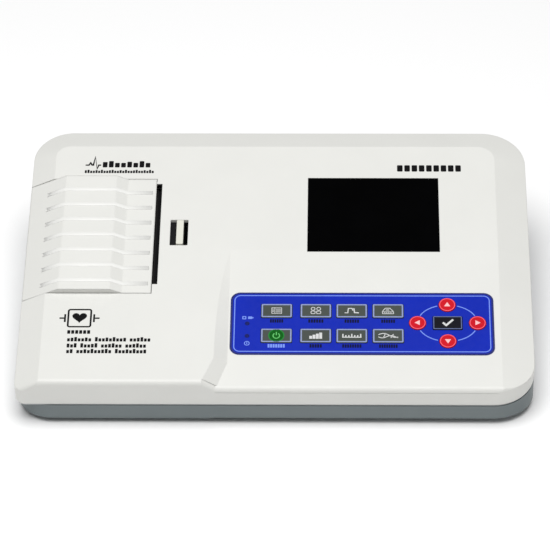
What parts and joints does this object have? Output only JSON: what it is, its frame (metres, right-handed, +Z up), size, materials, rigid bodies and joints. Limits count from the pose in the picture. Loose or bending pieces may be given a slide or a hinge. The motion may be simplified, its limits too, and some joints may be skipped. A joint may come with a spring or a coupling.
{
  "type": "ecg machine",
  "caption": "Desk-top ECG recorder: sloping case with a hinged thermal printer cover, a flush display, a membrane keypad with sprung keys, and recessed connectors.",
  "frame": {"origin": "on the table, under the middle of the case", "axes": "+X to the user's right, +Y to the back, +Z up"},
  "size_m": [0.315, 0.2156, 0.0755],
  "materials": {
    "shell_white": "fine moulded texture",
    "base_grey": "fine moulded texture",
    "trim_light_grey": "satin",
    "screen_black": "polished",
    "module_steel": "brushed",
    "overlay_blue": "fine satin film",
    "circuit_board": "solder mask",
    "lamp_dark": "polished",
    "battery_wrap": "shrink film",
    "black_plastic": "fine moulded texture",
    "nickel": "plated",
    "connector_blue": "moulded",
    "bright_steel": "ground",
    "platen_rubber": "ground rubber",
    "gear_plastic": "moulded",
    "bush_brass": "turned",
    "head_ceramic": "glazed",
    "heatsink": "black anodised",
    "thermal_paper": "smooth",
    "spindle_grey": "moulded",
    "latch_ivory": "satin",
    "tear_steel": "blackened",
    "foot_rubber": "soft",
    "key_grey": "satin film",
    "key_red": "satin film",
    "key_black": "satin film"
  },
  "bodies": {
    "root": {"bottom_case": "base_grey", "top_case": "shell_white", "seam_gasket": "trim_light_grey", "screen_window": "screen_black", "lcd_module": "module_steel", "keypad_overlay": "overlay_blue", "key_board": "circuit_board", "key_domes": "module_steel", "indicator_lenses": "lamp_dark", "main_board": "circuit_board", "power_board": "circuit_board", "battery_pack": "battery_wrap", "battery_door": "base_grey", "mains_inlet": "black_plastic", "inlet_pins": "nickel", "inlet_screws": "bright_steel", "rocker_housing": "black_plastic", "fuse_caps": "black_plastic", "ground_post": "nickel", "patient_port_shell": "nickel", "patient_port_insert": "connector_blue", "jackscrews": "nickel", "usb_port": "nickel", "printer_chassis": "black_plastic", "cover_hinge_pin": "bright_steel", "idler_axle": "bright_steel", "stepper_motor": "module_steel", "drive_bracket": "module_steel", "print_head": "head_ceramic", "head_heatsink": "heatsink", "head_springs": "bright_steel", "paper_spindle": "spindle_grey", "latch_guide": "black_plastic", "tear_bar": "tear_steel", "case_screws": "bright_steel", "rubber_feet": "foot_rubber"},
    "paper_cover": {"paper_cover": "shell_white", "platen_bushes": "bush_brass"},
    "platen": {"platen_roller": "platen_rubber", "platen_shaft": "bright_steel", "platen_gear": "gear_plastic"},
    "paper_roll": {"paper_roll": "thermal_paper"},
    "latch": {"latch_slider": "latch_ivory", "latch_spring": "bright_steel"},
    "idler": {"idler_gear": "gear_plastic"},
    "pinion": {"motor_pinion": "bush_brass"},
    "rocker": {"power_rocker": "black_plastic"},
    "key_back_1": {"key_back_1": "key_grey"},
    "key_back_2": {"key_back_2": "key_grey"},
    "key_back_3": {"key_back_3": "key_grey"},
    "key_back_4": {"key_back_4": "key_grey"},
    "key_front_1": {"key_front_1": "key_grey"},
    "key_front_2": {"key_front_2": "key_grey"},
    "key_front_3": {"key_front_3": "key_grey"},
    "key_front_4": {"key_front_4": "key_grey"},
    "key_set": {"key_set": "key_black"},
    "key_up": {"key_up": "key_red"},
    "key_down": {"key_down": "key_red"},
    "key_left": {"key_left": "key_red"},
    "key_right": {"key_right": "key_red"}
  },
  "joints": [
    {"name": "cover_hinge", "type": "hinge", "parent": "root", "child": "paper_cover", "pos_m": [-0.1552, 0.0119, 0.04579], "axis": [0, -0.9782, -0.2076], "range_deg": [0, 90]},
    {"name": "platen_spin", "type": "hinge", "parent": "paper_cover", "child": "platen", "pos_m": [-0.083, 0.01087, 0.05068], "axis": [0, 0.9782, 0.2076], "continuous": true},
    {"name": "roll_spin", "type": "hinge", "parent": "root", "child": "paper_roll", "pos_m": [-0.118, 0.01521, 0.03984], "axis": [0, 0.9782, 0.2076], "continuous": true},
    {"name": "idler_spin", "type": "hinge", "parent": "root", "child": "idler", "pos_m": [-0.086, -0.02801, 0.02913], "axis": [0, 0.9782, 0.2076], "continuous": true},
    {"name": "pinion_spin", "type": "hinge", "parent": "root", "child": "pinion", "pos_m": [-0.0815, -0.0258, 0.01872], "axis": [0, 0.9782, 0.2076], "continuous": true},
    {"name": "latch_slide", "type": "slide", "parent": "root", "child": "latch", "axis": [1, 0, 0], "range_m": [0, 0.002], "stiffness_N_per_m": 500, "springref_m": -0.001},
    {"name": "rocker_tilt", "type": "hinge", "parent": "root", "child": "rocker", "pos_m": [0.062, 0.09896, 0.03], "axis": [0, 0, -1], "range_deg": [0, 16]},
    {"name": "key_back_1_press", "type": "slide", "parent": "root", "child": "key_back_1", "axis": [0, 0.2643, -0.9645], "range_m": [0, 0.0006], "stiffness_N_per_m": 2500},
    {"name": "key_back_2_press", "type": "slide", "parent": "root", "child": "key_back_2", "axis": [0, 0.2643, -0.9645], "range_m": [0, 0.0006], "stiffness_N_per_m": 2500},
    {"name": "key_back_3_press", "type": "slide", "parent": "root", "child": "key_back_3", "axis": [0, 0.2643, -0.9645], "range_m": [0, 0.0006], "stiffness_N_per_m": 2500},
    {"name": "key_back_4_press", "type": "slide", "parent": "root", "child": "key_back_4", "axis": [0, 0.2643, -0.9645], "range_m": [0, 0.0006], "stiffness_N_per_m": 2500},
    {"name": "key_front_1_press", "type": "slide", "parent": "root", "child": "key_front_1", "axis": [0, 0.2643, -0.9645], "range_m": [0, 0.0006], "stiffness_N_per_m": 2500},
    {"name": "key_front_2_press", "type": "slide", "parent": "root", "child": "key_front_2", "axis": [0, 0.2643, -0.9645], "range_m": [0, 0.0006], "stiffness_N_per_m": 2500},
    {"name": "key_front_3_press", "type": "slide", "parent": "root", "child": "key_front_3", "axis": [0, 0.2643, -0.9645], "range_m": [0, 0.0006], "stiffness_N_per_m": 2500},
    {"name": "key_front_4_press", "type": "slide", "parent": "root", "child": "key_front_4", "axis": [0, 0.2643, -0.9645], "range_m": [0, 0.0006], "stiffness_N_per_m": 2500},
    {"name": "key_set_press", "type": "slide", "parent": "root", "child": "key_set", "axis": [0, 0.2643, -0.9645], "range_m": [0, 0.0006], "stiffness_N_per_m": 2500},
    {"name": "key_up_press", "type": "slide", "parent": "root", "child": "key_up", "axis": [0, 0.2643, -0.9645], "range_m": [0, 0.0006], "stiffness_N_per_m": 2500},
    {"name": "key_down_press", "type": "slide", "parent": "root", "child": "key_down", "axis": [0, 0.2643, -0.9645], "range_m": [0, 0.0006], "stiffness_N_per_m": 2500},
    {"name": "key_left_press", "type": "slide", "parent": "root", "child": "key_left", "axis": [0, 0.2643, -0.9645], "range_m": [0, 0.0006], "stiffness_N_per_m": 2500},
    {"name": "key_right_press", "type": "slide", "parent": "root", "child": "key_right", "axis": [0, 0.2643, -0.9645], "range_m": [0, 0.0006], "stiffness_N_per_m": 2500}
  ],
  "couplings": [
    {"joint": "idler_spin", "follows": "platen_spin", "ratio": -0.69231},
    {"joint": "pinion_spin", "follows": "platen_spin", "ratio": 1.5}
  ]
}
